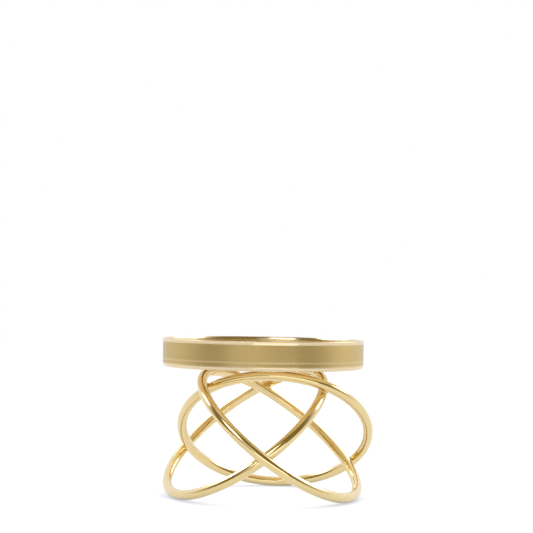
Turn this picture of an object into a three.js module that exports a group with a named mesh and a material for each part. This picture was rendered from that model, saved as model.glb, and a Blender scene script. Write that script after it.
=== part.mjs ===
// A low pedestal for a pillar candle: a shallow round pan on three equal wire rings. The rings are linked
// through each other like chain links, tilted, and welded wherever they touch each other and the pan.
// Millimetres, +Z up. The origin is the middle of the pedestal's bounds, on the surface that it stands on.

import * as THREE from "three";

// The wire rings
const wireDiameter = 6;
const ringRadius = 56; // to the middle of the wire
const ringTilt = 38.8; // degrees out of level
const ringReach = 11.63; // from the stand's middle to a ring's centre, towards the ring's lowest point
const ringAside = -4.19; // from there to the ring's centre, square to the reach
const ringSpring = 0.57; // how far a ring is pressed out of round, on its diagonals

// The direction in which each ring's lowest point lies, in degrees counterclockwise from +X
const lowDirections = { ring_back: 85.2, ring_left: 206.4, ring_right: 336.9 };

// The pan
const panDiameter = 119.6; // over its lip
const panHeight = 16.8;
const panSheet = 1.2;
const panCorner = 2; // outside radius where the wall meets the floor
const lipHeight = 2.2; // the top of the wall, turned slightly outwards
const lipFlare = 0.2; // how far the lip stands out from the wall
const lipEdge = 0.2; // the broken edges of the lip
const panShift = -2.8; // along X, from the middle of the three rings to the pan's axis

// The joints
const seatGap = 0.3; // between pieces that touch
const weldReach = 2.8; // from a crossing's middle to the outer edge of its weld
const weldEdge = 0.14; // thickness of a weld where it runs out between two pieces
const weldHollow = 0.25; // how far a weld's outer face is drawn in, as a share of its height
const filletLength = 9; // along the wire, under the pan
const filletWidth = 2.7; // along the pan's underside
const filletDepth = 1.6; // down the wire's side

// Steps in the round faces
const wireSides = 16;
const ringSteps = 84;
const panSteps = 96;
const cornerSteps = 4;
const weldSteps = 20; // round a crossing
const filletSteps = 10; // along a fillet
const faceSteps = 3; // across each face of a weld

// How the rings are seated on each other
const seatRounds = 400; // at most
const seatError = 1e-5; // mm
const springShare = 0.25; // a wire rather shifts than springs

const wireRadius = wireDiameter / 2;
const tilt = THREE.MathUtils.degToRad(ringTilt);
const ringRise = ringRadius * Math.sin(tilt) + wireRadius; // from the floor to a ring's centre
const standHeight = 2 * ringRise;
const standMiddle = new THREE.Vector3(0, 0, ringRise);

// Each crossing of two rings. Low down each ring passes outside the one before it, and high up inside it,
// so that every two rings are linked.
const crossings = [
  { name: "weld_low_left", level: "low", inner: "ring_back", outer: "ring_left" },
  { name: "weld_low_front", level: "low", inner: "ring_left", outer: "ring_right" },
  { name: "weld_low_right", level: "low", inner: "ring_right", outer: "ring_back" },
  { name: "weld_high_right", level: "high", inner: "ring_left", outer: "ring_back" },
  { name: "weld_high_back", level: "high", inner: "ring_right", outer: "ring_left" },
  { name: "weld_high_left", level: "high", inner: "ring_back", outer: "ring_right" },
];

// The ring whose highest point carries the pan at each place
const panSeats = { weld_pan_front: "ring_back", weld_pan_right: "ring_left", weld_pan_left: "ring_right" };

function satinGold() {
  return new THREE.MeshStandardMaterial({ color: 0xd9bd84, roughness: 0.35, metalness: 1 });
}

// A ring before it is seated. Its own X axis runs down to its lowest point.
function startRing(lowDirection) {
  const direction = THREE.MathUtils.degToRad(lowDirection);
  const centre = new THREE.Vector3(ringReach, ringAside, ringRise);
  centre.applyAxisAngle(new THREE.Vector3(0, 0, 1), direction);
  return { centre, turn: new THREE.Euler(0, tilt, direction, "ZYX"), spring: ringSpring };
}

// The direction from a ring's centre to its middle line, at an angle from its lowest point
function spoke(ring, angle) {
  return new THREE.Vector3(Math.cos(angle), Math.sin(angle), 0).applyEuler(ring.turn);
}

function linePoint(ring, angle) {
  const reach = ringRadius + ring.spring * Math.sin(2 * angle);
  return spoke(ring, angle).multiplyScalar(reach).add(ring.centre);
}

function lineSlope(ring, angle) {
  const step = 1e-4;
  return linePoint(ring, angle + step).sub(linePoint(ring, angle - step)).divideScalar(2 * step);
}

// Where two rings pass each other in their lower or upper halves: the nearest points of their middle lines,
// first among evenly spaced ones, then along the slopes there.
function findCrossing(inner, outer, level) {
  const scanSteps = 36;
  const slopeRounds = 12;
  const first = level === "low" ? -Math.PI / 2 : Math.PI / 2;
  const angles = Array.from({ length: scanSteps + 1 }, (_, i) => first + (Math.PI * i) / scanSteps);
  const innerPoints = angles.map((angle) => linePoint(inner, angle));
  const outerPoints = angles.map((angle) => linePoint(outer, angle));
  let nearest = Infinity;
  let innerAngle = 0;
  let outerAngle = 0;
  innerPoints.forEach((a, i) => {
    outerPoints.forEach((b, j) => {
      const distance = a.distanceTo(b);
      if (distance < nearest) {
        nearest = distance;
        innerAngle = angles[i];
        outerAngle = angles[j];
      }
    });
  });
  for (let round = 0; round < slopeRounds; round += 1) {
    const apart = linePoint(outer, outerAngle).sub(linePoint(inner, innerAngle));
    const p = lineSlope(inner, innerAngle);
    const q = lineSlope(outer, outerAngle);
    const pp = p.dot(p);
    const pq = p.dot(q);
    const qq = q.dot(q);
    const spread = pp * qq - pq * pq;
    innerAngle += (apart.dot(p) * qq - apart.dot(q) * pq) / spread;
    outerAngle += (apart.dot(p) * pq - apart.dot(q) * pp) / spread;
  }
  const a = linePoint(inner, innerAngle);
  const b = linePoint(outer, outerAngle);
  const middle = a.clone().add(b).multiplyScalar(0.5);
  const across = lineSlope(inner, innerAngle).cross(lineSlope(outer, outerAngle)).normalize();
  if (across.dot(middle.clone().sub(standMiddle)) < 0) across.negate();
  return { middle, across, innerAngle, outerAngle, apart: b.sub(a).dot(across) };
}

// How much farther apart the two wires of a crossing come for each move of one of its rings
function answers(ring, angle, across, sign) {
  return {
    ring,
    x: sign * across.x,
    y: sign * across.y,
    spring: sign * Math.sin(2 * angle) * spoke(ring, angle).dot(across),
  };
}

// Seats the rings: at each crossing in turn both rings shift sideways and spring a little, until at every
// crossing the two wires lie a seat's gap apart.
function seatRings(rings) {
  const wanted = wireDiameter + seatGap;
  let worst = Infinity;
  for (let round = 0; round < seatRounds && worst > seatError; round += 1) {
    worst = 0;
    crossings.forEach(({ inner, outer, level }) => {
      const found = findCrossing(rings[inner], rings[outer], level);
      const moves = [
        answers(rings[inner], found.innerAngle, found.across, -1),
        answers(rings[outer], found.outerAngle, found.across, 1),
      ];
      const total = moves.reduce((sum, m) => sum + m.x * m.x + m.y * m.y + springShare * m.spring * m.spring, 0);
      const share = (wanted - found.apart) / total;
      worst = Math.max(worst, Math.abs(wanted - found.apart));
      moves.forEach((m) => {
        m.ring.centre.x += share * m.x;
        m.ring.centre.y += share * m.y;
        m.ring.spring += share * springShare * m.spring;
      });
    });
  }
}

// A closed hoop of round wire in its own XY plane, pressed out of round on its diagonals
function hoopGeometry(ring, radius) {
  const hoop = new THREE.TorusGeometry(ringRadius, radius, wireSides, ringSteps);
  const places = hoop.attributes.position;
  for (let i = 0; i < places.count; i += 1) {
    const angle = Math.atan2(places.getY(i), places.getX(i));
    const out = ring.spring * Math.sin(2 * angle);
    places.setX(i, places.getX(i) + out * Math.cos(angle));
    places.setY(i, places.getY(i) + out * Math.sin(angle));
  }
  hoop.computeVertexNormals();
  return hoop;
}

function ringMesh(name, ring) {
  const mesh = new THREE.Mesh(hoopGeometry(ring, wireRadius), satinGold());
  mesh.name = name;
  mesh.position.copy(ring.centre);
  mesh.rotation.copy(ring.turn);
  return mesh;
}

// The pan's section: floor, rounded corner, straight wall, and a low lip that is turned slightly outwards
function panProfile() {
  const lip = panDiameter / 2;
  const wall = lip - lipFlare;
  const lipFoot = panHeight - lipHeight;
  const quarter = Math.PI / 2;
  const points = [new THREE.Vector2(0, 0)];
  arcPoints(points, wall - panCorner, panCorner, panCorner, -quarter, 0, cornerSteps);
  points.push(
    new THREE.Vector2(wall, lipFoot),
    new THREE.Vector2(lip, panHeight - lipEdge),
    new THREE.Vector2(lip - lipEdge, panHeight),
    new THREE.Vector2(lip - panSheet + lipEdge, panHeight),
    new THREE.Vector2(lip - panSheet, panHeight - lipEdge),
    new THREE.Vector2(wall - panSheet, lipFoot),
  );
  arcPoints(points, wall - panCorner, panCorner, panCorner - panSheet, 0, -quarter, cornerSteps);
  points.push(new THREE.Vector2(0, panSheet));
  return points;
}

function arcPoints(points, x, y, radius, from, to, steps) {
  for (let i = 0; i <= steps; i += 1) {
    const angle = from + ((to - from) * i) / steps;
    points.push(new THREE.Vector2(x + radius * Math.cos(angle), y + radius * Math.sin(angle)));
  }
}

function panMesh(rings) {
  const middle = new THREE.Vector3();
  Object.values(rings).forEach((ring) => middle.addScaledVector(ring.centre, 1 / 3));
  const mesh = new THREE.Mesh(new THREE.LatheGeometry(panProfile(), panSteps), satinGold());
  mesh.name = "pan";
  mesh.rotation.x = Math.PI / 2;
  mesh.position.set(middle.x + panShift, middle.y, standHeight + seatGap);
  return mesh;
}

// A closed body through a row of sections that have the same number of points. Its ends are the two given
// points, or, with none given, the row runs round and back to its first section.
function loftMesh(name, sections, ends = []) {
  const count = sections[0].length;
  const rows = ends.length ? sections.length - 1 : sections.length;
  const index = [];
  for (let row = 0; row < rows; row += 1) {
    const here = row * count;
    const next = ((row + 1) % sections.length) * count;
    for (let i = 0; i < count; i += 1) {
      const j = (i + 1) % count;
      index.push(here + i, next + i, here + j, here + j, next + i, next + j);
    }
  }
  if (ends.length) {
    const first = sections.length * count;
    for (let i = 0; i < count; i += 1) {
      const j = (i + 1) % count;
      index.push(first, i, j, first + 1, rows * count + j, rows * count + i);
    }
  }
  const points = [...sections.flat(), ...ends];
  const geometry = new THREE.BufferGeometry().setFromPoints(points);
  geometry.setIndex(index);
  geometry.computeVertexNormals();
  const mesh = new THREE.Mesh(geometry, satinGold());
  mesh.name = name;
  return mesh;
}

// The collar of weld metal in the crevice round the point where two wires touch. Each of its sections stands
// on a line from the middle of the crossing outwards, and fills the wedge between the two wires there.
function crossingWeld({ name, inner, outer, level }, rings) {
  const { middle, across, innerAngle, outerAngle, apart } = findCrossing(rings[inner], rings[outer], level);
  const along = lineSlope(rings[inner], innerAngle).normalize();
  const sideways = new THREE.Vector3().crossVectors(across, along);
  const outerAlong = lineSlope(rings[outer], outerAngle).normalize();
  const turned = Math.atan2(outerAlong.dot(sideways), outerAlong.dot(along));
  const clear = wireRadius + seatGap;
  const edge = Math.min(weldReach, clear);
  // Half the space between the wires, from the crossing's middle plane to a wire's seat gap
  const rise = (reach, angle) => apart / 2 - Math.sqrt(clear ** 2 - (reach * Math.sin(angle)) ** 2);
  const sections = Array.from({ length: weldSteps }, (_, step) => {
    const angle = (2 * Math.PI * step) / weldSteps;
    const low = (reach) => -rise(reach, angle);
    const high = (reach) => rise(reach, angle - turned);
    const start = whereWedgeOpens((reach) => high(reach) - low(reach), edge);
    const flat = [];
    for (let i = 0; i <= faceSteps; i += 1) {
      const reach = start + ((edge - start) * i) / faceSteps;
      flat.push([reach, low(reach)]);
    }
    const height = high(edge) - low(edge);
    for (let i = 1; i < faceSteps; i += 1) {
      const share = i / faceSteps;
      flat.push([edge - weldHollow * height * Math.sin(Math.PI * share), low(edge) + height * share]);
    }
    for (let i = faceSteps; i >= 0; i -= 1) {
      const reach = start + ((edge - start) * i) / faceSteps;
      flat.push([reach, high(reach)]);
    }
    const out = along.clone().multiplyScalar(Math.cos(angle)).addScaledVector(sideways, Math.sin(angle));
    return flat.map(([x, y]) => middle.clone().addScaledVector(out, x).addScaledVector(across, y));
  });
  return loftMesh(name, sections);
}

// The reach at which a wedge is as thick as the thin edge of a weld
function whereWedgeOpens(thickness, edge) {
  const halvings = 30;
  let near = 0;
  let far = edge;
  for (let i = 0; i < halvings; i += 1) {
    const middle = (near + far) / 2;
    if (thickness(middle) < weldEdge) near = middle;
    else far = middle;
  }
  return far;
}

// The two short fillets between a ring's highest point and the pan's underside, one on each side of the wire.
// They swell from a point at each end to their full section in the middle.
function panWelds(name, ring) {
  const clear = wireRadius + seatGap;
  const edgeAngle = Math.acos((wireRadius - weldEdge) / clear);
  const halfTurn = filletLength / 2 / ringRadius;
  const up = new THREE.Vector3(0, 0, 1);
  return ["inner", "outer"].map((suffix, k) => {
    // From the wire's middle line, sideways and up
    const place = (angle, x, y) => {
      const middle = linePoint(ring, angle);
      const sideways = new THREE.Vector3().crossVectors(up, lineSlope(ring, angle).normalize());
      if (sideways.dot(spoke(ring, angle)) * (k === 0 ? 1 : -1) > 0) sideways.negate();
      return middle.addScaledVector(sideways.normalize(), x).setZ(middle.z + y);
    };
    const section = (share) => {
      const angle = Math.PI + halfTurn * Math.cos(Math.PI * share);
      const swell = Math.sin(Math.PI * share);
      const lowest = Math.acos((wireRadius - weldEdge - (filletDepth - weldEdge) * swell) / clear);
      const top = standHeight - linePoint(ring, angle).z;
      const flat = [];
      for (let i = 0; i <= faceSteps; i += 1) {
        const turn = edgeAngle + ((lowest - edgeAngle) * i) / faceSteps;
        flat.push([clear * Math.sin(turn), clear * Math.cos(turn)]);
      }
      const [x, y] = flat[faceSteps];
      const outside = clear * Math.sin(edgeAngle) + filletWidth * swell;
      for (let i = 1; i < faceSteps; i += 1) {
        const turn = ((Math.PI / 2) * i) / faceSteps;
        flat.push([outside - (outside - x) * Math.cos(turn), y + (top - y) * Math.sin(turn)]);
      }
      flat.push([outside, top], [clear * Math.sin(edgeAngle), top]);
      return flat.map(([sx, sy]) => place(angle, sx, sy));
    };
    const shares = Array.from({ length: filletSteps - 1 }, (_, i) => (i + 1) / filletSteps);
    const ends = [halfTurn, -halfTurn].map((turn) => {
      return place(Math.PI + turn, clear * Math.sin(edgeAngle), wireRadius - weldEdge / 2);
    });
    // The outer fillet is a mirror image of the inner one, so its row runs the other way
    if (k === 1) {
      shares.reverse();
      ends.reverse();
    }
    return loftMesh(`${name}_${suffix}`, shares.map(section), ends);
  });
}

function buildPedestal() {
  const entries = Object.entries(lowDirections).map(([name, direction]) => [name, startRing(direction)]);
  const rings = Object.fromEntries(entries);
  seatRings(rings);

  const stand = new THREE.Group();
  entries.forEach(([name, ring]) => stand.add(ringMesh(name, ring)));
  crossings.forEach((crossing) => stand.add(crossingWeld(crossing, rings)));

  const top = new THREE.Group();
  top.add(panMesh(rings));
  Object.entries(panSeats).forEach(([name, ring]) => top.add(...panWelds(name, rings[ring])));

  const pedestal = new THREE.Group();
  pedestal.add(stand, top);
  const bounds = new THREE.Box3().setFromObject(pedestal, true);
  const middle = bounds.getCenter(new THREE.Vector3());
  pedestal.position.set(-middle.x, -middle.y, -bounds.min.z);
  return pedestal;
}

export default buildPedestal();
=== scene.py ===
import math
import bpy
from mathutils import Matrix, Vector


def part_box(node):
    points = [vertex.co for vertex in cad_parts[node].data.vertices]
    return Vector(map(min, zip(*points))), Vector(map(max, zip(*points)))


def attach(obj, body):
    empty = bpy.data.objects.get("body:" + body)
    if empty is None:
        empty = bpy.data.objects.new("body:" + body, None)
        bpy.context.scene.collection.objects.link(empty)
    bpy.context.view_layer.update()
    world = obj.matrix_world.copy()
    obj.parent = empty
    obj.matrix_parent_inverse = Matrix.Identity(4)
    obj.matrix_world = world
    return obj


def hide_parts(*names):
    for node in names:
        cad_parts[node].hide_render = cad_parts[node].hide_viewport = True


bl_info = {
    "name": "Candle Pedestal",
    "version": (1, 0, 0),
    "blender": (4, 5, 0),
    "location": "3D View > Sidebar > Pedestal",
    "description": "Builds a pillar candle pedestal: a spun pan on three linked wire rings",
    "category": "Add Mesh",
}

import bmesh
import bpy
from bpy.props import FloatProperty, FloatVectorProperty, IntProperty, PointerProperty
from bpy.types import NodeSocket, Operator, Panel, PropertyGroup
from mathutils import Euler, Matrix, Vector

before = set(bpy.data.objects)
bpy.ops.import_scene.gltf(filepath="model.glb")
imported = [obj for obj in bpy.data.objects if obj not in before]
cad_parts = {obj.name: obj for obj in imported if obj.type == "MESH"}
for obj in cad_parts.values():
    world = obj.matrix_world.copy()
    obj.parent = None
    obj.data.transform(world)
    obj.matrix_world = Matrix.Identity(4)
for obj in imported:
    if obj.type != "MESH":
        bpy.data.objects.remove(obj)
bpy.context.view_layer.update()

MM = 0.001
UP = Vector((0, 0, 1))
SEAT_GAP = 0.3 * MM  # stands for contact between two wires
SAME_POINT = 0.001 * MM  # corners that are nearer to each other are one


# What the frame gives: where the pan and the rings are


def node_middle(node):
    """The middle of a node's box."""
    low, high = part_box(node)
    return (low + high) / 2


pan_low, pan_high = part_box("pan")
PAN_DIAMETER = (pan_high - pan_low).x
PAN_HEIGHT = (pan_high - pan_low).z
# The middle of the pan's underside
PAN_FOOT = Vector(((pan_low.x + pan_high.x) / 2, (pan_low.y + pan_high.y) / 2, pan_low.z))

RINGS = ("ring_back", "ring_left", "ring_right")

# Each crossing of two rings: its node, the half of the stand that it lies in, the inner and the outer ring
CROSSINGS = (
    ("weld_low_left", "low", "ring_back", "ring_left"),
    ("weld_low_front", "low", "ring_left", "ring_right"),
    ("weld_low_right", "low", "ring_right", "ring_back"),
    ("weld_high_right", "high", "ring_left", "ring_back"),
    ("weld_high_back", "high", "ring_right", "ring_left"),
    ("weld_high_left", "high", "ring_back", "ring_right"),
)

# The place of each pan weld, and the ring whose highest point it holds
PAN_SEATS = (
    ("weld_pan_front", "ring_back"),
    ("weld_pan_right", "ring_left"),
    ("weld_pan_left", "ring_right"),
)


# Sizes and colours that a user would change


class PedestalPan(PropertyGroup):
    diameter: FloatProperty(
        name="Diameter",
        description="Across the pan's lip",
        default=PAN_DIAMETER,
        unit="LENGTH",
    )
    height: FloatProperty(
        name="Height",
        description="From the pan's underside to the top of its rim",
        default=PAN_HEIGHT,
        unit="LENGTH",
    )
    sheet: FloatProperty(
        name="Sheet",
        description="Thickness of the sheet that the pan is spun from",
        default=1.2 * MM,
        unit="LENGTH",
    )
    corner: FloatProperty(
        name="Corner",
        description="Outside radius where the wall meets the floor",
        default=2.0 * MM,
        unit="LENGTH",
    )
    lip: FloatProperty(
        name="Lip",
        description="Height of the top of the wall that is turned outwards",
        default=2.1 * MM,
        unit="LENGTH",
    )
    flare: FloatProperty(
        name="Flare",
        description="How far the lip stands out from the wall",
        default=0.2 * MM,
        unit="LENGTH",
    )
    lean: FloatProperty(
        name="Lean",
        description="How far the inside of the lip leans outwards at its top",
        default=math.radians(35),
        subtype="ANGLE",
    )
    edge: FloatProperty(
        name="Edge",
        description="Radius that breaks the edges of the lip",
        default=0.15 * MM,
        unit="LENGTH",
    )
    line: FloatProperty(
        name="Turned Line",
        description="Height of the fine line round the wall's foot",
        default=4.8 * MM,
        unit="LENGTH",
    )
    relief: FloatProperty(
        name="Relief",
        description="Depth of the turned line",
        default=0.08 * MM,
        unit="LENGTH",
    )
    steps: IntProperty(name="Steps", description="Steps round the pan", default=288, min=24)


class PedestalRings(PropertyGroup):
    wire: FloatProperty(
        name="Wire",
        description="Diameter of the wire",
        default=5.92 * MM,
        unit="LENGTH",
    )
    radius: FloatProperty(
        name="Radius",
        description="From a ring's centre to the middle of its wire",
        default=56.0 * MM,
        unit="LENGTH",
    )
    tilt: FloatProperty(
        name="Tilt",
        description="How far a ring leans out of level",
        default=math.radians(38.8),
        subtype="ANGLE",
    )
    directions: FloatVectorProperty(
        name="Directions",
        description="Where the lowest point of each ring lies, counterclockwise from +X",
        default=[math.radians(a) for a in (85.2, 206.4, 336.9)],
        subtype="EULER",
    )
    springs: FloatVectorProperty(
        name="Springs",
        description="How far each ring is pressed out of round, on its diagonals",
        default=(0.747 * MM, 0.549 * MM, 0.582 * MM),
        subtype="XYZ_LENGTH",
    )
    sides: IntProperty(name="Sides", description="Steps round the wire", default=36, min=8)
    steps: IntProperty(name="Steps", description="Steps round a ring", default=288, min=24)


class PedestalWelds(PropertyGroup):
    reach: FloatProperty(
        name="Reach",
        description="From a crossing to the edge of its weld",
        default=2.75 * MM,
        unit="LENGTH",
    )
    sink: FloatProperty(
        name="Sink",
        description="How far weld metal runs into the pieces it joins",
        default=0.12 * MM,
        unit="LENGTH",
    )
    length: FloatProperty(
        name="Length",
        description="Length of the fillets under the pan",
        default=9.0 * MM,
        unit="LENGTH",
    )
    width: FloatProperty(
        name="Width",
        description="Width of a fillet along the pan's underside",
        default=2.7 * MM,
        unit="LENGTH",
    )
    depth: FloatProperty(
        name="Depth",
        description="Depth of a fillet down the wire's side",
        default=1.6 * MM,
        unit="LENGTH",
    )


class PedestalFinish(PropertyGroup):
    pan: FloatVectorProperty(
        name="Pan",
        description="Colour of the brushed pan",
        default=(0.59, 0.438, 0.185),
        subtype="COLOR",
    )
    # A paler copy of the pan's gold, painted on as highlight and as reflection of the bright floor
    lip: FloatVectorProperty(
        name="Lip",
        description="Colour of the pan's lip and lower corner, and of its wall's inside",
        default=(0.85, 0.70, 0.455),
        subtype="COLOR",
    )
    ring: FloatVectorProperty(
        name="Rings",
        description="Colour of the satin wire",
        default=(0.87, 0.683, 0.33),
        subtype="COLOR",
    )
    weld: FloatVectorProperty(
        name="Welds",
        description="Colour of the plated welds",
        default=(0.84, 0.655, 0.30),
        subtype="COLOR",
    )


class PedestalStage(PropertyGroup):
    floor: FloatProperty(name="Floor", description="Width of the floor", default=6.0, unit="LENGTH")
    distance: FloatProperty(
        name="Distance",
        description="From the camera to the middle of the stand",
        default=1.0104,
        unit="LENGTH",
    )
    height: FloatProperty(
        name="Height",
        description="Height of the camera above the floor",
        default=0.1202,
        unit="LENGTH",
    )
    lens: FloatProperty(name="Lens", description="Focal length in millimetres", default=114.61)
    pitch: FloatProperty(
        name="Pitch",
        description="How far the camera looks down",
        default=math.radians(-0.923),
        subtype="ANGLE",
    )
    yaw: FloatProperty(
        name="Yaw",
        description="How far the camera looks left",
        default=math.radians(0.0985),
        subtype="ANGLE",
    )
    roll: FloatProperty(
        name="Roll",
        description="How far the camera leans over",
        default=math.radians(0.984),
        subtype="ANGLE",
    )
    front: FloatVectorProperty(
        name="Front",
        description="Colour of the dim room in front of the pedestal",
        default=(0.23, 0.178, 0.075),
        subtype="COLOR",
    )
    back: FloatVectorProperty(
        name="Back",
        description="Colour of the bright room behind it",
        default=(0.93, 0.93, 0.93),
        subtype="COLOR",
    )
    ceiling: FloatVectorProperty(
        name="Ceiling",
        description="Colour of the ceiling above it",
        default=(0.9, 0.9, 0.9),
        subtype="COLOR",
    )


# Meshes and objects


def make_object(bm, name, material):
    """Makes a finished bmesh an object of one material."""
    mesh = bpy.data.meshes.new(name)
    bm.to_mesh(mesh)
    bm.free()
    mesh.materials.append(material)
    made = bpy.data.objects.new(name, mesh)
    bpy.context.scene.collection.objects.link(made)
    return made


def make_piece(bm, name, material, slot_name, *nodes):
    """Makes a finished bmesh a smooth piece that rides on the pedestal and stands for the given nodes."""
    bmesh.ops.remove_doubles(bm, verts=bm.verts, dist=SAME_POINT)
    bmesh.ops.recalc_face_normals(bm, faces=bm.faces)
    for face in bm.faces:
        face.smooth = True
    piece = make_object(bm, name, material)
    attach(piece, "root")
    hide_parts(*nodes)


def draw_line(bm, end, to):
    """Draws a profile on from its end vertex, straight to a point."""
    new = bmesh.ops.extrude_vert_indiv(bm, verts=[end])["verts"][0]
    new.co = to
    return new


def draw_arc(bm, end, centre, angle, steps):
    """Draws a profile on from its end vertex, round a centre in the XZ plane."""
    made = bmesh.ops.spin(
        bm, geom=[end], cent=centre, axis=(0, 1, 0), angle=-angle, steps=steps, use_duplicate=False
    )
    return next(last for last in made["geom_last"] if isinstance(last, bmesh.types.BMVert))


def draw_hoop(bm, radius, thickness, sides, steps):
    """Draws a closed hoop round the Z axis: a standing circle, spun once round."""
    place = Matrix.Translation((radius, 0, 0)) @ Matrix.Rotation(math.pi / 2, 4, "X")
    bmesh.ops.create_circle(bm, segments=sides, radius=thickness / 2, matrix=place)
    spin_round(bm, steps)


def spin_round(bm, steps):
    """Spins all that is in the bmesh once round the Z axis."""
    bmesh.ops.spin(
        bm,
        geom=bm.verts[:] + bm.edges[:],
        cent=(0, 0, 0),
        axis=(0, 0, 1),
        angle=2 * math.pi,
        steps=steps,
        use_merge=True,
        use_duplicate=False,
    )


def draw_tube(bm, sides, steps):
    """Draws a closed tube of radius 1 along the X axis, from -1 to 1."""
    place = Matrix.Translation((-1, 0, 0)) @ Matrix.Rotation(math.pi / 2, 4, "Y")
    bmesh.ops.create_circle(bm, segments=sides, radius=1.0, matrix=place)
    row = bm.edges[:]
    bmesh.ops.contextual_create(bm, geom=row)
    for _ in range(steps):
        made = bmesh.ops.extrude_edge_only(bm, edges=row)["geom"]
        edges = [edge for edge in made if isinstance(edge, bmesh.types.BMEdge)]
        row = [edge for edge in edges if len(edge.link_faces) == 1]
        moved = {vert for edge in row for vert in edge.verts}
        bmesh.ops.translate(bm, verts=list(moved), vec=(2 / steps, 0, 0))
    bmesh.ops.contextual_create(bm, geom=row)


# The rings' middle lines


class Ring:
    """Where a ring lies: its centre comes from its node, its lean and its direction from the sizes."""

    def __init__(self, name):
        sizes = bpy.context.scene.pedestal_rings
        index = RINGS.index(name)
        self.radius = sizes.radius
        self.wire_radius = sizes.wire / 2
        self.spring = sizes.springs[index]
        self.centre = node_middle(name)
        lean = Euler((0, sizes.tilt, 0)).to_matrix()
        self.turn = Euler((0, 0, sizes.directions[index])).to_matrix() @ lean

    def stretch(self, angle):
        """How far the ring is pressed outwards at an angle from its lowest point."""
        return self.spring * math.sin(2 * angle)

    def point(self, angle):
        """A point of the wire's middle line."""
        reach = self.radius + self.stretch(angle)
        return self.centre + self.turn @ Vector((reach * math.cos(angle), reach * math.sin(angle), 0))

    def slope(self, angle):
        """How the middle line runs at an angle, for each radian."""
        step = 1e-4
        return (self.point(angle + step) - self.point(angle - step)) / (2 * step)


def find_crossing(inner, outer, level):
    """The middle of a crossing, the line across both wires there, and how the two wires run."""
    inner_angle, outer_angle = nearest_angles(inner, outer, level)
    # Then along both slopes to where they come nearest, for more rounds than it takes to settle
    rounds = 12
    for _ in range(rounds):
        apart = outer.point(outer_angle) - inner.point(inner_angle)
        inner_slope, outer_slope = inner.slope(inner_angle), outer.slope(outer_angle)
        inner_square, outer_square = inner_slope.dot(inner_slope), outer_slope.dot(outer_slope)
        shared = inner_slope.dot(outer_slope)
        spread = inner_square * outer_square - shared**2
        inner_angle += (apart.dot(inner_slope) * outer_square - apart.dot(outer_slope) * shared) / spread
        outer_angle += (apart.dot(inner_slope) * shared - apart.dot(outer_slope) * inner_square) / spread
    on_inner, on_outer = inner.point(inner_angle), outer.point(outer_angle)
    slopes = inner.slope(inner_angle).normalized(), outer.slope(outer_angle).normalized()
    return (on_inner + on_outer) / 2, (on_outer - on_inner).normalized(), *slopes


def nearest_angles(inner, outer, level):
    """The angles at which two rings come nearest to each other, among evenly spaced ones in one half."""
    steps = 90
    first = -math.pi / 2 if level == "low" else math.pi / 2
    angles = [first + math.pi * step / steps for step in range(steps + 1)]
    inner_points = [(inner.point(angle), angle) for angle in angles]
    outer_points = [(outer.point(angle), angle) for angle in angles]
    _, inner_angle, outer_angle = min(
        ((on_outer - on_inner).length, inner_angle, outer_angle)
        for on_inner, inner_angle in inner_points
        for on_outer, outer_angle in outer_points
    )
    return inner_angle, outer_angle


# Materials


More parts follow.
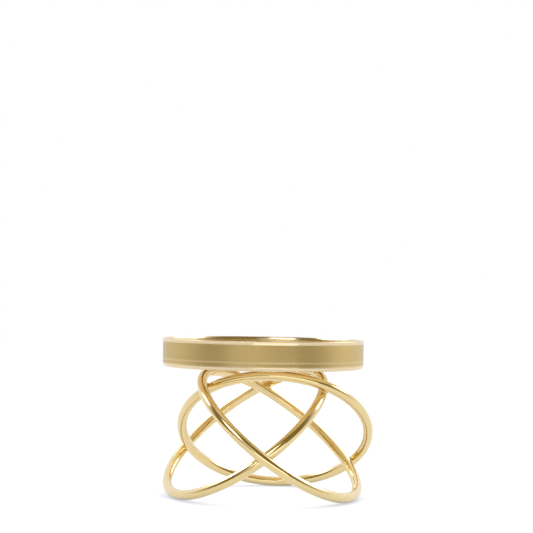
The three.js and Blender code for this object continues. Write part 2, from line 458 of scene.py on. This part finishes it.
class Recipe:
    """The nodes of a material or of the world. A value is a number, a colour or a node's output."""

    def __init__(self, tree, output):
        self.nodes = tree.nodes
        self.links = tree.links
        self.nodes.clear()
        self.output = self.node(output)

    def node(self, kind, inputs=None, **settings):
        """Adds a node with its settings, and gives its inputs their values."""
        made = self.nodes.new(kind)
        for name, setting in settings.items():
            setattr(made, name, setting)
        self.feed(made, inputs or {})
        return made

    def feed(self, node, inputs):
        """Gives a node's inputs their values, each by its name or place."""
        for key, value in inputs.items():
            if isinstance(value, NodeSocket):
                self.links.new(value, node.inputs[key])
            else:
                node.inputs[key].default_value = value

    def show(self, shader):
        """Makes a shader the one that is seen."""
        self.links.new(shader, self.output.inputs["Surface"])

    def show_both(self, share, first, second):
        """Shows two shaders: the first where the share is 0, and the second where it is 1."""
        both = self.node("ShaderNodeMixShader", {0: share, 1: first, 2: second})
        self.show(both.outputs["Shader"])

    def place(self):
        """Where a point lies, in the piece's own coordinates."""
        return self.node("ShaderNodeTexCoord").outputs["Object"]

    def split(self, vector):
        """The three parts of a vector."""
        return self.node("ShaderNodeSeparateXYZ", {"Vector": vector}).outputs

    def gather(self, x, y, z):
        """A vector of three parts."""
        return self.node("ShaderNodeCombineXYZ", {"X": x, "Y": y, "Z": z}).outputs["Vector"]

    def calculate(self, operation, *values):
        """One step of arithmetic."""
        return self.node("ShaderNodeMath", dict(enumerate(values)), operation=operation).outputs["Value"]

    def join(self, operation, first, *others):
        """Joins any number of values by one operation, two at a time."""
        for value in others:
            first = self.calculate(operation, first, value)
        return first

    def add_products(self, *pairs):
        """Multiplies each pair of values, and adds up what comes of them."""
        return self.join("ADD", *(self.calculate("MULTIPLY", a, b) for a, b in pairs))

    def spread(self, value, low, high, to_low=0.0, to_high=1.0):
        """A number that goes from to_low to to_high as the value goes from low to high."""
        inputs = {"Value": value, "From Min": low, "From Max": high, "To Min": to_low, "To Max": to_high}
        return self.node("ShaderNodeMapRange", inputs).outputs["Result"]

    def blend(self, factor, first, second, kind="FLOAT"):
        """Goes from the first value to the second as the factor goes from 0 to 1."""
        inputs = {"Factor": factor, "A": first, "B": second}
        return self.node("ShaderNodeMix", inputs, data_type=kind).outputs["Result"]

    def two_tones(self, factor, low, high, first, second):
        """A colour that goes from the first to the second as the factor goes from low to high."""
        ramp = self.node("ShaderNodeValToRGB", {"Fac": factor})
        for stop, position, colour in zip(ramp.color_ramp.elements, (low, high), (first, second)):
            stop.position = position
            stop.color = (*colour, 1)
        return ramp.outputs["Color"]

    def shades(self, factor, low, high, colour, darkest, lightest):
        """One colour, from its darkest to its lightest shade as the factor goes from low to high."""
        tones = [[min(1.0, part * shade) for part in colour] for shade in (darkest, lightest)]
        return self.two_tones(factor, low, high, *tones)

    def noise(self, vector, scale, detail, roughness, w=None):
        """Cloudy noise. With a fourth coordinate, w, it can close round a ring without a seam."""
        inputs = {"Vector": vector, "Scale": scale, "Detail": detail, "Roughness": roughness}
        if w is not None:
            inputs["W"] = w
        dimensions = "3D" if w is None else "4D"
        return self.node("ShaderNodeTexNoise", inputs, noise_dimensions=dimensions).outputs["Fac"]

    def bump(self, height, strength, distance):
        """The surface's direction, with a fine relief."""
        inputs = {"Strength": strength, "Distance": distance, "Height": height}
        return self.node("ShaderNodeBump", inputs).outputs["Normal"]


def new_material(name, inputs=None):
    """A material, its recipe and its shader, some of whose inputs may be given."""
    material = bpy.data.materials.new(name)
    material.use_nodes = True
    recipe = Recipe(material.node_tree, "ShaderNodeOutputMaterial")
    shader = recipe.node("ShaderNodeBsdfPrincipled", inputs)
    recipe.show(shader.outputs["BSDF"])
    return material, recipe, shader


METAL = {"Metallic": 1.0}
# A thin clear coat over the gold, whose reflections are white
LACQUER = {"Coat Weight": 1.0, "Coat Roughness": 0.08, "Coat IOR": 1.5}
# The brush lines run round the axis, so the shine is drawn out up the wall and across the floor
BRUSHED = {"Anisotropic": 0.65, "Anisotropic Rotation": 0.25}


def pan_gold():
    """Brushed gold, polished at the lip and the lower corner. The brush lines run round the pan's axis.
    There, on the turned line and on the wall's inside, a paler copy of the gold is painted in as painted
    highlight and painted reflection of the bright floor.
    """
    material, recipe, shader = new_material("pan_gold", METAL | BRUSHED)
    finish = bpy.context.scene.pedestal_finish
    centring = {"Vector": recipe.place(), "Location": -PAN_FOOT}
    centred = recipe.node("ShaderNodeMapping", centring).outputs["Vector"]
    x, y, z = recipe.split(centred)
    from_axis = recipe.calculate("SQRT", recipe.add_products((x, x), (y, y)))
    fine, marks = brush_marks(recipe, centred, from_axis)
    lip, inside, foot, line = pan_areas(recipe, from_axis, z)
    brushed = recipe.shades(marks, 0.36, 0.64, finish.pan, darkest=0.93, lightest=1.06)
    # The paler tone is painted highlight: a lit copy of the gold for the lip, the lower corner, the turned
    # line and the wall's inside
    painted_highlight_tone = recipe.shades(marks, 0.30, 0.70, finish.lip, darkest=0.97, lightest=1.03)
    painted_highlight_areas = recipe.join("MAXIMUM", lip, foot, line, inside)
    roughness = recipe.spread(fine, 0.3, 0.7, to_low=0.36, to_high=0.44)
    for area, area_roughness in ((inside, 0.50), (line, 0.28), (foot, 0.22), (lip, 0.20)):
        roughness = recipe.blend(area, roughness, area_roughness)
    recipe.feed(
        shader,
        {
            "Base Color": recipe.blend(painted_highlight_areas, brushed, painted_highlight_tone, "RGBA"),
            "Roughness": roughness,
            "Tangent": recipe.gather(recipe.calculate("MULTIPLY", y, -1.0), x, 0.0),
            "Normal": recipe.bump(fine, strength=0.10, distance=0.05 * MM),
        },
    )
    return material


def brush_marks(recipe, centred, from_axis):
    """The fine brush lines, and their mix with wider lines and soft clouds, which colours the pan."""
    x, y, z = recipe.split(centred)
    # Stretched along the brush: slow in x and y, fast from the axis outwards and up the wall
    along, outwards, upwards = 6.0, 900.0, 1300.0
    brushed = recipe.gather(
        recipe.calculate("MULTIPLY", x, along),
        recipe.calculate("MULTIPLY", y, along),
        recipe.add_products((from_axis, outwards), (z, upwards)),
    )
    fine = recipe.noise(brushed, scale=2.6, detail=6.0, roughness=0.65)
    wide = recipe.noise(brushed, scale=0.55, detail=3.0, roughness=0.5)
    cloud = recipe.noise(centred, scale=24.0, detail=3.0, roughness=0.5)
    return fine, recipe.add_products((fine, 0.55), (wide, 0.25), (cloud, 0.20))


def pan_areas(recipe, from_axis, z):
    """Masks of the pan's lip, of the wall's inside, of the lower corner and of the turned line. They set
    the roughness, and where the paler painted highlight tone goes.
    """
    sizes = bpy.context.scene.pedestal_pan
    lip_foot, wall = sizes.height - sizes.lip, sizes.diameter / 2 - sizes.flare
    # Each goes from where the area begins to show to where it shows in full
    lip = recipe.spread(z, lip_foot - 0.05 * MM, lip_foot + 0.25 * MM)
    in_wall = recipe.spread(from_axis, wall - 0.4 * MM, wall - sizes.sheet + 0.2 * MM)
    above_floor = recipe.spread(z, 2 * sizes.sheet, 3 * sizes.sheet)
    inside = recipe.calculate("MULTIPLY", in_wall, above_floor)
    foot = recipe.spread(z, sizes.corner * 1.5, sizes.corner)
    from_line = recipe.calculate("ABSOLUTE", recipe.calculate("SUBTRACT", z, sizes.line))
    line = recipe.spread(from_line, 0.9 * MM, 0.3 * MM, to_high=0.3)
    return lip, inside, foot, line


def ring_gold():
    """Satin gold wire, with faint draw lines that run along it."""
    material, recipe, shader = new_material("ring_gold", METAL | LACQUER)
    skin = recipe.node("ShaderNodeAttribute", attribute_name="wire_skin").outputs["Vector"]
    run = recipe.node("ShaderNodeAttribute", attribute_name="wire_run").outputs["Fac"]
    drawn = recipe.noise(skin, scale=3.4, detail=5.0, roughness=0.62, w=run)
    cloud = recipe.noise(recipe.place(), scale=30.0, detail=3.0, roughness=0.5)
    marks = recipe.add_products((drawn, 0.7), (cloud, 0.3))
    colour = bpy.context.scene.pedestal_finish.ring
    recipe.feed(
        shader,
        {
            "Base Color": recipe.shades(marks, 0.36, 0.64, colour, darkest=0.94, lightest=1.05),
            "Roughness": recipe.spread(drawn, 0.3, 0.7, to_low=0.11, to_high=0.15),
            "Normal": recipe.bump(drawn, strength=0.03, distance=0.05 * MM),
        },
    )
    return material


def weld_gold():
    """The same plating over weld metal, rougher, with the soft ripple of a small bead."""
    material, recipe, shader = new_material("weld_gold", METAL | LACQUER)
    ripple = recipe.noise(recipe.place(), scale=900.0, detail=3.0, roughness=0.55)
    colour = bpy.context.scene.pedestal_finish.weld
    recipe.feed(
        shader,
        {
            "Base Color": recipe.shades(ripple, 0.3, 0.7, colour, darkest=0.92, lightest=1.05),
            "Roughness": recipe.spread(ripple, 0.3, 0.7, to_low=0.30, to_high=0.42),
            "Normal": recipe.bump(ripple, strength=0.35, distance=0.1 * MM),
        },
    )
    return material


def white_card():
    """White board with a faint glow of its own."""
    white = {"Base Color": (0.9, 0.9, 0.9, 1), "Roughness": 0.8}
    glow = {"Emission Color": (1, 1, 1, 1), "Emission Strength": 0.35}
    return new_material("white_card", white | glow)[0]


def pale_floor():
    """Near white. The camera and the metal see most of it as plain white, so its shadows stay soft; near
    the wires an occlusion mask paints a soft bluish contact shadow into its glow.
    """
    matt = {"Base Color": (0.91, 0.925, 0.96, 1), "Roughness": 0.7, "Specular IOR Level": 0.1}
    material, recipe, shader = new_material("pale_floor", matt)
    path = recipe.node("ShaderNodeLightPath").outputs
    for_camera = path["Is Camera Ray"]
    painted_shadow_ao = recipe.node("ShaderNodeAmbientOcclusion", {"Distance": 15 * MM}, samples=16).outputs["AO"]
    # White for the camera, and a touch less in the metal. Close to the wires the occlusion mask dims the
    # glow: a painted contact shadow.
    in_metal = recipe.spread(painted_shadow_ao, 0.3, 0.9, to_low=0.64, to_high=0.92)
    more_for_camera = 0.20
    strength = recipe.calculate("MULTIPLY_ADD", for_camera, more_for_camera, in_metal)
    # Bluish painted shadow tint where the occlusion mask is dark, white elsewhere
    colour = recipe.two_tones(painted_shadow_ao, 0.3, 0.95, (0.88, 0.91, 1.0), (1.0, 1.0, 1.0))
    glow = recipe.node("ShaderNodeEmission", {"Color": colour, "Strength": strength}).outputs["Emission"]
    seen = recipe.join("MAXIMUM", for_camera, path["Is Glossy Ray"], path["Is Transmission Ray"])
    share_of_glow = recipe.calculate("MULTIPLY", seen, 0.8)
    recipe.show_both(share_of_glow, shader.outputs["BSDF"], glow)
    return material


# The stage


def make_floor(width):
    """A square floor round the frame's origin."""
    bm = bmesh.new()
    bmesh.ops.create_grid(bm, x_segments=1, y_segments=1, size=width / 2)
    floor = make_object(bm, "floor", pale_floor())


def make_card(azimuth, distance, width, height):
    """A low white card that stands in front of the pedestal, unseen by the camera, to light the rings."""
    place = (
        Matrix.Rotation(math.radians(azimuth), 4, "Z")
        @ Matrix.Translation((0, -distance, height / 2))
        @ Matrix.Rotation(math.pi / 2, 4, "X")
        @ Matrix.Diagonal((width, height, 1, 1))
    )
    bm = bmesh.new()
    bmesh.ops.create_grid(bm, x_segments=1, y_segments=1, size=0.5, matrix=place)
    card = make_object(bm, "card", white_card())
    card.visible_camera = False


def make_lamp(name, azimuth, elevation, width, height, brightness):
    """A soft lamp that faces the pedestal, as many times brighter than white as its brightness says."""
    # The aim is about half way up the pedestal
    distance, aim = 1.2, UP * 0.05
    data = bpy.data.lights.new(name, "AREA")
    data.shape = "RECTANGLE"
    data.size = width
    data.size_y = height
    data.energy = brightness * math.pi * width * height
    lamp = bpy.data.objects.new(name, data)
    bpy.context.scene.collection.objects.link(lamp)
    turn = Euler((0, -math.radians(elevation), math.radians(azimuth - 90))).to_matrix()
    towards = turn @ Vector((1, 0, 0))
    lamp.location = aim + towards * distance
    lamp.rotation_euler = towards.to_track_quat("Z", "Y").to_euler()
    lamp.visible_camera = False


def make_camera(scene, sizes):
    """The camera stands in front of the middle of the rings."""
    camera = bpy.data.objects.new("camera", bpy.data.cameras.new("camera"))
    scene.collection.objects.link(camera)
    full_frame = 36  # mm, the sensor that the lens is for
    camera.data.sensor_width = full_frame
    camera.data.lens = sizes.lens
    middle = sum((Ring(name).centre for name in RINGS), Vector()) / len(RINGS)
    aim = (
        Matrix.Rotation(sizes.yaw, 4, "Z")
        @ Matrix.Rotation(math.pi / 2 - sizes.pitch, 4, "X")
        @ Matrix.Rotation(sizes.roll, 4, "Z")
    )
    place = Matrix.Translation((middle.x, middle.y - sizes.distance, sizes.height))
    camera.matrix_world = place @ aim
    scene.camera = camera


def make_room(scene, sizes):
    """White for the camera. The metal sees a room: dim in front, bright behind, with a lit ceiling."""
    world = bpy.data.worlds.new("studio")
    scene.world = world
    world.use_nodes = True
    recipe = Recipe(world.node_tree, "ShaderNodeOutputWorld")
    x, y, z = recipe.split(recipe.node("ShaderNodeTexCoord").outputs["Generated"])
    # Azimuth to the camera's right and elevation, in degrees
    towards_camera = recipe.calculate("MULTIPLY", y, -1.0)
    azimuth = recipe.calculate("DEGREES", recipe.calculate("ARCTAN2", x, towards_camera))
    elevation = recipe.calculate("DEGREES", recipe.calculate("ARCSINE", z))
    walls = room_walls(recipe, azimuth, elevation, sizes)
    overhead = recipe.spread(elevation, 66, 82)
    colour = recipe.blend(overhead, walls, (*sizes.ceiling, 1), "RGBA")
    room = recipe.node("ShaderNodeBackground", {"Color": colour, "Strength": 1.0})
    white = recipe.node("ShaderNodeBackground", {"Color": (1, 1, 1, 1), "Strength": 1.0})
    below = recipe.spread(z, 0.0, -0.02)
    for_camera = recipe.node("ShaderNodeLightPath").outputs["Is Camera Ray"]
    share_of_white = recipe.calculate("MAXIMUM", for_camera, below)
    recipe.show_both(share_of_white, room.outputs["Background"], white.outputs["Background"])


def room_walls(recipe, azimuth, elevation, sizes):
    """The walls' colour: the bright room behind begins well round the pedestal's sides."""
    right = recipe.spread(azimuth, 62, 104)
    left = recipe.spread(azimuth, -76, -112)
    # The wall under the window in front is paler than the rest of that side
    under_window = room_patch(recipe, azimuth, elevation, (-42, 6), (8, 32))
    sill = recipe.calculate("MULTIPLY", under_window, 0.7)
    bright = recipe.join("MAXIMUM", right, left, sill)
    return recipe.two_tones(bright, 0.0, 1.0, sizes.front, sizes.back)


def room_patch(recipe, azimuth, elevation, across, up):
    """1 between the two azimuths and the two elevations, with soft edges, and 0 elsewhere."""
    soft = 4
    masks = [
        recipe.spread(value, edge - soft * inwards, edge + soft * inwards)
        for value, edges in ((azimuth, across), (elevation, up))
        for edge, inwards in zip(edges, (1, -1))
    ]
    return recipe.join("MULTIPLY", *masks)


# Operators


class PEDESTAL_OT_pan(Operator):
    """Spins the pan: flat floor, rounded corner, straight wall and a lip turned slightly outwards"""

    bl_idname = "pedestal.pan"
    bl_label = "Pan"

    def execute(self, context):
        sizes = context.scene.pedestal_pan
        bm = bmesh.new()
        end = bm.verts.new((0, 0, 0))
        end = self.draw_outside(bm, end, sizes)
        end = self.draw_lip(bm, end, sizes)
        self.draw_inside(bm, end, sizes)
        bmesh.ops.remove_doubles(bm, verts=bm.verts, dist=SAME_POINT)
        spin_round(bm, sizes.steps)
        bmesh.ops.translate(bm, verts=bm.verts, vec=PAN_FOOT)
        make_piece(bm, "spun_pan", pan_gold(), "pan_gold", "pan")
        return {"FINISHED"}

    def draw_outside(self, bm, end, sizes):
        """From the middle of the underside to the foot of the lip."""
        wall, corner = sizes.diameter / 2 - sizes.flare, sizes.corner
        lip_foot = sizes.height - sizes.lip
        # A straight stretch has points close to its ends, so that smooth shading leaves it straight
        for share in (0.5, 0.8, 0.95, 1.0):
            end = draw_line(bm, end, ((wall - corner) * share, 0, 0))
        end = draw_arc(bm, end, (wall - corner, 0, corner), math.pi / 2, steps=10)
        # Below the turned line the wall draws in a little towards it, and the line itself faces down
        half_line = 0.4 * MM
        line_foot, line_top = sizes.line - half_line, sizes.line + half_line
        for share in (0.04, 0.35, 0.7, 0.97, 1.0):
            height = corner + (line_foot - corner) * share
            end = draw_line(bm, end, (wall - sizes.relief * share, 0, height))
        for share in (0.12, 0.5, 0.88, 1.0):
            height = line_foot + (line_top - line_foot) * share
            end = draw_line(bm, end, (wall - sizes.relief * (1 - share), 0, height))
        for share in (0.01, 0.3, 0.65, 0.99, 1.0):
            end = draw_line(bm, end, (wall, 0, line_top + (lip_foot - line_top) * share))
        return end

    def draw_lip(self, bm, end, sizes):
        """Turns the sheet a little outwards, over its narrow top and down to the wall's inside."""
        wall, lip_foot = sizes.diameter / 2 - sizes.flare, sizes.height - sizes.lip
        edge, inside = sizes.edge, wall - sizes.sheet
        turn = 2 * math.atan(sizes.flare / (sizes.lip - edge))
        bend = (sizes.lip - edge) / math.sin(turn) - edge
        end = draw_arc(bm, end, (wall + bend, 0, lip_foot), -turn, steps=8)
        edge_height = sizes.height - edge
        end = draw_arc(bm, end, (sizes.diameter / 2 - edge, 0, edge_height), math.pi / 2 + turn, steps=8)
        # The inside is rounded over, so the lip is thinner at its top
        round_over = edge + (sizes.lip - edge) / math.sin(sizes.lean)
        land = inside + round_over - (round_over - edge) * math.cos(sizes.lean)
        end = draw_line(bm, end, (land, 0, sizes.height))
        end = draw_arc(bm, end, (land, 0, edge_height), math.pi / 2 - sizes.lean, steps=5)
        return draw_arc(bm, end, (inside + round_over, 0, lip_foot), sizes.lean, steps=12)

    def draw_inside(self, bm, end, sizes):
        """Down the wall's inside and over the floor to its middle."""
        inside = sizes.diameter / 2 - sizes.flare - sizes.sheet
        corner = sizes.corner - sizes.sheet
        lip_foot, floor = sizes.height - sizes.lip, sizes.sheet
        for share in (0.05, 0.4, 0.8, 1.0):
            end = draw_line(bm, end, (inside, 0, lip_foot + (floor + corner - lip_foot) * share))
        end = draw_arc(bm, end, (inside - corner, 0, floor + corner), -math.pi / 2, steps=8)
        for share in (0.98, 0.8, 0.5, 0.0):
            end = draw_line(bm, end, ((inside - corner) * share, 0, floor))


class PEDESTAL_OT_rings(Operator):
    """Spins the three wire rings, presses them a little out of round and leans them into place"""

    bl_idname = "pedestal.rings"
    bl_label = "Rings"

    def execute(self, context):
        sizes = context.scene.pedestal_rings
        material = ring_gold()
        for name in RINGS:
            ring = Ring(name)
            bm = bmesh.new()
            draw_hoop(bm, sizes.radius, sizes.wire, sizes.sides, sizes.steps)
            self.press_hoop(bm, ring)
            place = Matrix.Translation(ring.centre) @ ring.turn.to_4x4()
            bmesh.ops.transform(bm, matrix=place, verts=bm.verts)
            make_piece(bm, name.replace("ring", "wire_ring"), material, "ring_gold", name)
        return {"FINISHED"}

    def press_hoop(self, bm, ring):
        """Presses the round hoop out of round, and notes where each point lies on the wire."""
        skin = bm.verts.layers.float_vector.new("wire_skin")
        run = bm.verts.layers.float.new("wire_run")
        # The noise of the draw lines is read round a circle of this radius, so it closes without a seam
        loop = 0.9
        for vert in bm.verts:
            angle = math.atan2(vert.co.y, vert.co.x)
            side = math.atan2(vert.co.z, vert.co.xy.length - ring.radius)
            vert[skin] = (math.cos(side), math.sin(side), loop * math.cos(angle))
            vert[run] = loop * math.sin(angle)
            out = ring.stretch(angle)
            vert.co += Vector((out * math.cos(angle), out * math.sin(angle), 0))


class PEDESTAL_OT_ring_welds(Operator):
    """Fills the crevice round each crossing of two rings with a small collar of weld metal"""

    bl_idname = "pedestal.ring_welds"
    bl_label = "Ring Welds"

    def execute(self, context):
        material = weld_gold()
        for name, level, inner, outer in CROSSINGS:
            crossing = find_crossing(Ring(inner), Ring(outer), level)
            bm = bmesh.new()
            draw_hoop(bm, radius=0.5, thickness=1.0, sides=20, steps=64)
            self.fill_crevice(bm, crossing, context.scene.pedestal_rings, context.scene.pedestal_welds)
            make_piece(bm, name.replace("weld", "collar"), material, "weld_gold", name)
        return {"FINISHED"}

    def fill_crevice(self, bm, crossing, rings, sizes):
        """From a fat hoop of radius 1 to the wedge between the two wires, all round their crossing."""
        middle, across, along, outer_along = crossing
        sideways = across.cross(along)
        turned = math.atan2(outer_along.dot(sideways), outer_along.dot(along))
        clear = rings.wire / 2 - sizes.sink
        apart = rings.wire / 2 + SEAT_GAP / 2
        # Shares: of the reach, where the collar starts, and of its height, how far its face is drawn in
        start, hollow = 0.25, 0.34
        for vert in bm.verts:
            angle = math.atan2(vert.co.y, vert.co.x)
            out, up = vert.co.xy.length, 2 * vert.co.z
            reach = sizes.reach * (start + (1 - start) * out)
            low = apart - math.sqrt(max(clear**2 - (reach * math.sin(angle)) ** 2, 0))
            high = apart - math.sqrt(max(clear**2 - (reach * math.sin(angle - turned)) ** 2, 0))
            height = low + high
            rise = -low + height * (up + 1) / 2
            # The outer face is drawn in between the two wires, as wet metal is
            reach -= hollow * height * (1 - up * up) * max(out - 0.5, 0) * 2
            vert.co = (
                middle
                + along * (reach * math.cos(angle))
                + sideways * (reach * math.sin(angle))
                + across * rise
            )


class PEDESTAL_OT_pan_welds(Operator):
    """Runs a short fillet along each side of a ring's highest point, under the pan"""

    bl_idname = "pedestal.pan_welds"
    bl_label = "Pan Welds"

    def execute(self, context):
        sizes = context.scene.pedestal_welds
        material = weld_gold()
        for place, ring_name in PAN_SEATS:
            ring = Ring(ring_name)
            for side, suffix in ((-1, "inner"), (1, "outer")):
                bm = bmesh.new()
                draw_tube(bm, sides=24, steps=24)
                for vert in bm.verts:
                    vert.co = self.fillet_point(ring, side, vert.co, sizes)
                name = f"{place}_{suffix}"
                make_piece(bm, name.replace("weld_pan", "fillet"), material, "weld_gold", name)
        return {"FINISHED"}

    def fillet_point(self, ring, side, flat, sizes):
        """From a tube round the X axis to the wedge between the wire and the pan's underside."""
        along = max(-1.0, min(1.0, flat.x))
        angle = math.pi + along * sizes.length / 2 / ring.radius
        middle = ring.point(angle)
        # The fillet swells from a thin end to its full section in the middle
        thin_end = 0.03
        swell = thin_end + (1 - thin_end) * math.sqrt(max(1 - along**2, 0.0))
        spot = self.section_point(ring, middle, swell, flat, sizes)
        sideways = UP.cross(ring.slope(angle)).normalized()
        if sideways.dot(ring.centre - middle) * side > 0:
            sideways.negate()
        return middle + sideways * spot.x + UP * spot.y

    def section_point(self, ring, middle, swell, flat, sizes):
        """A point of the fillet's section, sideways and up from the wire's middle line."""
        wire = ring.wire_radius - sizes.sink
        top = PAN_FOOT.z + sizes.sink - middle.z
        # Angles round the wire, from straight up: the fillet's tip in the crevice, and its lower edge
        tip = 0.3
        lean = tip + (math.acos((top - sizes.depth) / wire) - tip) * swell
        at_tip = Vector((wire * math.sin(tip), top))
        on_pan = Vector((wire * math.sin(tip) + sizes.width * swell, top))
        on_wire = Vector((wire * math.sin(lean), wire * math.cos(lean)))
        # Once round the tube: out along the pan, back over the hollow face, up the wire to the tip.
        # These are the shares of the way round where the first two end, and how hollow the face is.
        pan_end, face_end, hollow = 0.4, 0.6, 0.7
        turn = math.atan2(flat.z, flat.y) / (2 * math.pi) % 1
        if turn < pan_end:
            return at_tip.lerp(on_pan, turn / pan_end)
        if turn < face_end:
            share = (turn - pan_end) / (face_end - pan_end)
            face = on_wire - on_pan
            return on_pan + face * share + Vector((face.y, -face.x)) * hollow * share * (1 - share)
        back = lean + (tip - lean) * (turn - face_end) / (1 - face_end)
        return Vector((wire * math.sin(back), wire * math.cos(back)))


class PEDESTAL_OT_stage(Operator):
    """Sets up the pale floor, the room round the pedestal, the soft lamps and the camera"""

    bl_idname = "pedestal.stage"
    bl_label = "Stage"

    def execute(self, context):
        scene = context.scene
        sizes = scene.pedestal_stage
        scene.view_settings.view_transform = "Standard"
        make_floor(sizes.floor)
        make_room(scene, sizes)
        # Azimuth to the camera's right and elevation in degrees, other sizes in metres
        make_card(azimuth=13, distance=0.36, width=0.32, height=0.085)
        make_lamp("softbox_right", azimuth=121, elevation=37, width=1.05, height=0.44, brightness=4.8)
        make_lamp("softbox_left", azimuth=-115, elevation=41, width=0.95, height=0.40, brightness=4.0)
        make_lamp("window_front", azimuth=-27, elevation=39, width=0.56, height=0.47, brightness=3.2)
        make_camera(scene, sizes)
        return {"FINISHED"}


class PEDESTAL_PT_panel(Panel):
    """Lists the pedestal's sizes, colours and steps"""

    bl_label = "Candle Pedestal"
    bl_idname = "PEDESTAL_PT_panel"
    bl_space_type = "VIEW_3D"
    bl_region_type = "UI"
    bl_category = "Pedestal"

    def draw(self, context):
        for group in GROUPS:
            box = self.layout.box()
            box.label(text=group.removeprefix("pedestal_").capitalize())
            settings = getattr(context.scene, group)
            for name in settings.__annotations__:
                box.prop(settings, name)
        for operator in OPERATORS:
            self.layout.operator(operator.bl_idname)


GROUPS = {
    "pedestal_pan": PedestalPan,
    "pedestal_rings": PedestalRings,
    "pedestal_welds": PedestalWelds,
    "pedestal_finish": PedestalFinish,
    "pedestal_stage": PedestalStage,
}

OPERATORS = (
    PEDESTAL_OT_pan,
    PEDESTAL_OT_rings,
    PEDESTAL_OT_ring_welds,
    PEDESTAL_OT_pan_welds,
    PEDESTAL_OT_stage,
)


def register():
    for cls in (*GROUPS.values(), *OPERATORS, PEDESTAL_PT_panel):
        bpy.utils.register_class(cls)
    for name, cls in GROUPS.items():
        setattr(bpy.types.Scene, name, PointerProperty(type=cls))


def unregister():
    for name in GROUPS:
        delattr(bpy.types.Scene, name)
    for cls in (PEDESTAL_PT_panel, *reversed(OPERATORS), *reversed(list(GROUPS.values()))):
        bpy.utils.unregister_class(cls)


def main():
    register()
    bpy.ops.pedestal.pan()
    bpy.ops.pedestal.rings()
    bpy.ops.pedestal.ring_welds()
    bpy.ops.pedestal.pan_welds()
    bpy.ops.pedestal.stage()


if __name__ == "__main__":
    main()
